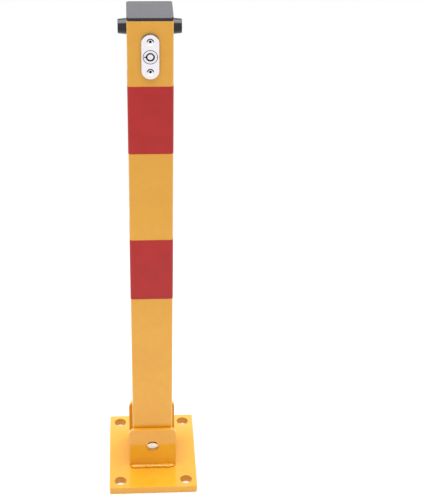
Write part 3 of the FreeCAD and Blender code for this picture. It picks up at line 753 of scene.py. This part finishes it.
pin_mesh = spun_mesh("hollow_ended_pivot_pin", pin_outline(), pin_centre)
pin = bpy.data.objects.new("hollow_ended_pivot_pin", pin_mesh)
scene.collection.objects.link(pin)
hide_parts("pivot_pin")
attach(pin, "post")
print(pin.name, len(pin_mesh.polygons), "faces")

# %% [markdown]
# ## Finish of the pin
# The powder coat has covered the rim and the wall of each hollow, in a paler copy that is painted light,
# so that the wall is as bright as the open ear. Its bottom shows the turned steel below a line just under
# the axis, and painted shade above it, for the shadow that the upper rim of the ear's hole casts into the
# hollow. The paint covers whole faces, so a test picks them. The line crosses the faces of the bottom, so
# the shade is painted over a copy of the steel, as on the screws.

# %% Dress the pin
# Painted shade on the bottom of each hollow, for the shadow of the ear's upper rim: the level it starts
# from, and its colour.
SHADE_LINE = pin_centre.z - 0.9 * MM
PAINTED_SHADE_ON_STEEL = "#2A1A0A"
# Distances from the axis: half way through the wall, and well inside it.
WITHIN_WALL = pin_radius - 0.5 * CUP_WALL
WITHIN_CUP = pin_radius - 1.5 * CUP_WALL


def shaded_hollow():
    """The pin's steel with painted shade above a level line."""
    material, tree, place = start_painted_shade(turned_pin, "painted_shade_pivot_hollow")
    height = add(tree, "SeparateXYZ", {"Vector": place}).outputs["Z"]
    span = {"From Min": SHADE_LINE - SHADE_FADE, "From Max": SHADE_LINE + SHADE_FADE}
    lay_painted_shade(tree, add(tree, "MapRange", {"Value": height, **span}), PAINTED_SHADE_ON_STEEL)
    return material


def cup_bottom(centre, normal):
    """The bottom of a hollow end."""
    return from_axis(centre, pin_centre.z) < WITHIN_CUP


def painted_end(centre, normal):
    """The rim of the pin and the wall of its hollow."""
    at_rim = abs(centre.y - pin_centre.y) > pin_half - PIN_CHAMFER
    at_wall = abs(normal.y) < SIDEWAYS and from_axis(centre, pin_centre.z) < WITHIN_WALL
    return at_rim or at_wall


dress(pin, turned_pin)
# Painted shade on the upper part of each hollow's bottom.
dress_faces(pin, shaded_hollow(), cup_bottom)
# A paler coat on the rim and the wall of each hollow, as painted light.
dress_faces(pin, pale_painted_light, painted_end)

# %% [markdown]
# ## Weld beads
# A fillet weld that is laid by hand is a row of overlapping drops, one for each short pause of the
# torch. A swept section with a bump would look too even, so the bead is made the welder's way. The
# drops are squashed spheres in a row, uneven in size, lean and place. Each is a little like the one
# before it, because a hand doesn't change its pace at once. Their width and height follow the leg of
# the weld, which is the height of the plain fillet that the bead replaces.

# %% Drops of the weld
DROP_PITCH = 4.6 * MM
HALF_LENGTH = 5.2 * MM
# Shares of the leg.
HALF_WIDTH = 0.74
HALF_HEIGHT = 0.46
OUT_FROM_EAR = 0.5
UP_FROM_PLATE = 0.38
# How uneven the hand is. A drop climbs by a share of what it wanders from the ear.
SLACK = 0.2
MEMORY = 0.4
LEAN_DEGREES = (-4.0, 12.0)
JITTER = 0.2 * MM
WANDER = 0.7 * MM
CLIMB = 0.5
# How finely a drop is divided.
DROP_SEGMENTS = 24
DROP_RINGS = 14


def weld_drops(low, high, side, seed):
    """Overlapping drops along the corner between an ear and the plate."""
    draw = random.Random(seed)
    leg = high.z - low.z
    corner_y = high.y if side < 0 else low.y
    count = int((high.x - low.x - 2.0 * HALF_LENGTH) / DROP_PITCH) + 1
    drops = bmesh.new()
    swell = 1.0
    for i in range(count):
        swell = MEMORY * swell + (1.0 - MEMORY) * draw.uniform(1.0 - SLACK, 1.0 + SLACK)
        size = Matrix.Diagonal((HALF_LENGTH, HALF_WIDTH * leg * swell, HALF_HEIGHT * leg * swell, 1.0))
        lean = Matrix.Rotation(math.radians(draw.uniform(*LEAN_DEGREES)), 4, "Y")
        x = low.x + HALF_LENGTH + i * DROP_PITCH + draw.uniform(-JITTER, JITTER)
        wander = draw.uniform(-WANDER, WANDER)
        y = corner_y + side * (OUT_FROM_EAR * leg + wander)
        z = low.z + UP_FROM_PLATE * leg + CLIMB * wander
        bmesh.ops.create_uvsphere(
            drops,
            u_segments=DROP_SEGMENTS,
            v_segments=DROP_RINGS,
            radius=1.0,
            matrix=Matrix.Translation((x, y, z)) @ lean @ size,
        )
    return drops


print("a drop every", round(DROP_PITCH / MM, 1), "mm")

# %% [markdown]
# ## Melting the drops together
# Molten drops flow into one skin. A boolean union would keep a hard crease between every two
# spheres. The Remesh modifier wraps them all in one closed mesh of small voxels, and the Smooth
# modifier lets the creases and the steps flow out. Both need an object to work on, which is removed
# once its result has been taken.

# %% Melt
SKIN_VOXEL = 0.35 * MM
FLOW_STEPS = 6


def melted(name, drops):
    """One closed skin around all the drops."""
    mesh = bpy.data.meshes.new(name + "_drops")
    drops.to_mesh(mesh)
    drops.free()
    holder = bpy.data.objects.new(name + "_drops", mesh)
    scene.collection.objects.link(holder)
    remesh = holder.modifiers.new("melt", "REMESH")
    remesh.mode = "VOXEL"
    remesh.voxel_size = SKIN_VOXEL
    holder.modifiers.new("flow", "SMOOTH").iterations = FLOW_STEPS
    graph = bpy.context.evaluated_depsgraph_get()
    skin = bpy.data.meshes.new_from_object(holder.evaluated_get(graph))
    bpy.data.objects.remove(holder)
    bpy.data.meshes.remove(mesh)
    return skin


print("the skin is made of voxels of", round(SKIN_VOXEL / MM, 2), "mm")

# %% [markdown]
# ## Seating the beads
# The skin still runs on into the plate and the ear. That would look the same, but a bead is a piece
# of its own that ends where their metal begins. So the skin is cut off at both with a plane, and
# each cut is closed with a face. The bead stands for the plain fillet, which stays in the
# simulation.

# %% Weld beads


def cut_flat(shape, point, outward):
    """Cuts a closed shape at a plane, drops what lies outside it and closes the cut."""
    everything = shape.verts[:] + shape.edges[:] + shape.faces[:]
    plane = {"plane_co": point, "plane_no": outward}
    cut = bmesh.ops.bisect_plane(shape, geom=everything, clear_outer=True, **plane)
    rim = [item for item in cut["geom_cut"] if isinstance(item, bmesh.types.BMEdge)]
    bmesh.ops.holes_fill(shape, edges=rim)


def weld_bead(name, node, side, seed):
    """A rippled bead in place of a plain fillet weld."""
    low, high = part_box(node)
    skin = melted(name, weld_drops(low, high, side, seed))
    bead = bmesh.new()
    bead.from_mesh(skin)
    cut_flat(bead, low, Vector((0.0, 0.0, -1.0)))
    cut_flat(bead, high if side < 0 else low, Vector((0.0, -side, 0.0)))
    for face in bead.faces:
        face.smooth = True
    skin.clear_geometry()
    bead.to_mesh(skin)
    bead.free()
    piece = bpy.data.objects.new(name, skin)
    scene.collection.objects.link(piece)
    dress(piece, yellow_paint)
    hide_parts(node)
    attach(piece, "base")
    print(name, len(skin.polygons), "faces")


weld_bead("front_weld_bead", "front_weld", side=-1, seed=11)
weld_bead("rear_weld_bead", "rear_weld", side=1, seed=23)

# %% [markdown]
# ## What is seen and what lights
# The background is plain white, but a room that lights the object as strongly as plain white would
# wash its colours out. The Light Path node tells the two jobs apart. A ray that comes straight from
# the camera, or by way of a mirror or glass, sees white. Any other ray only carries light, and finds
# something softer.

# %% Rays that see the background
PLAIN_WHITE = linear("#FFFFFF")


def seen_directly(tree):
    """1 for camera, glossy and transmission rays, and 0 for the rest."""
    path = add(tree, "LightPath").outputs
    seen = {0: path["Is Camera Ray"], 1: path["Is Glossy Ray"]}
    seen = add(tree, "Math", seen, operation="MAXIMUM")
    return add(tree, "Math", {0: seen, 1: path["Is Transmission Ray"]}, operation="MAXIMUM")


print("plain white as light", PLAIN_WHITE)

# %% [markdown]
# ## Floor
# The bollard stands on white paper, like the roll that hangs behind an object in a studio. More
# light could turn a grey floor white, but the paint would clip as well. So close to the plate the
# paper is a plain matt floor, which catches the soft shadow, and further out it fades to plain white
# where it is seen, so that no horizon shows. As a source of light it stays a pale floor everywhere.

# %% Floor
FLOOR_HALF = 6000.0 * MM
FLOOR_WHITE = "#F2F2F2"
PAPER_NEAR = 0.02
FADE_START = 120.0 * MM
FADE_END = 700.0 * MM


def paper_floor():
    """A pale floor that reads as white paper and keeps the object's shadow."""
    material, tree, place = new_finish("white_paper_floor")
    matt = add(tree, "BsdfDiffuse", {"Color": linear(FLOOR_WHITE)})
    white = add(tree, "Emission", {"Color": PLAIN_WHITE, "Strength": 1.0})
    reach = add(tree, "VectorMath", {0: place}, operation="LENGTH")
    fade = {"From Min": FADE_START, "From Max": FADE_END, "To Min": PAPER_NEAR}
    fade = add(tree, "MapRange", {"Value": reach, **fade})
    share = add(tree, "Math", {0: seen_directly(tree), 1: fade}, operation="MULTIPLY")
    add(tree, "OutputMaterial", {"Surface": add(tree, "MixShader", {0: share, 1: matt, 2: white})})
    return material


floor_mesh = bpy.data.meshes.new("floor")
floor_shape = bmesh.new()
bmesh.ops.create_grid(floor_shape, x_segments=1, y_segments=1, size=FLOOR_HALF)
floor_shape.to_mesh(floor_mesh)
floor_shape.free()
floor = bpy.data.objects.new("floor", floor_mesh)
scene.collection.objects.link(floor)
dress(floor, paper_floor())
print("floor", 2.0 * FLOOR_HALF, "m square")

# %% [markdown]
# ## Light
# The room gives an even soft light from all round. One broad lamp hangs overhead and adds a little
# direction, so that the top of the plate is brighter than the front of the post. A long narrow one
# behind the bollard gives the cap and the upper edges their sheen. Both are soft boxes, large for
# their distance, because a small lamp would throw hard shadows that the photograph doesn't have.

# %% Room and lamps
ROOM_LIGHT = 0.54


def soft_room():
    """World that lights softly and shows as plain white."""
    world = bpy.data.worlds.new("soft_room")
    world.use_nodes = True
    tree = world.node_tree
    tree.nodes.clear()
    light = add(tree, "Background", {"Color": PLAIN_WHITE, "Strength": ROOM_LIGHT})
    white = add(tree, "Background", {"Color": PLAIN_WHITE, "Strength": 1.0})
    both = {0: seen_directly(tree), 1: light, 2: white}
    add(tree, "OutputWorld", {"Surface": add(tree, "MixShader", both)})
    return world


def soft_box(name, place, target, width, height, watts):
    """A rectangular lamp that faces a target."""
    data = bpy.data.lights.new(name, "AREA")
    data.shape = "RECTANGLE"
    data.size = width
    data.size_y = height
    data.energy = watts
    lamp = bpy.data.objects.new(name, data)
    lamp.location = place
    lamp.rotation_mode = "QUATERNION"
    lamp.rotation_quaternion = (Vector(target) - Vector(place)).to_track_quat("-Z", "Y")
    scene.collection.objects.link(lamp)


scene.world = soft_room()
soft_box("overhead", (0.0, 0.15, 2.1), target=(0.0, 0.15, 0.0), width=2.0, height=1.7, watts=60.0)
soft_box("back_box", (0.0, 2.6, 1.55), target=(0.0, 0.0, 0.6), width=3.6, height=0.9, watts=8.0)
scene.view_settings.view_transform = "Standard"
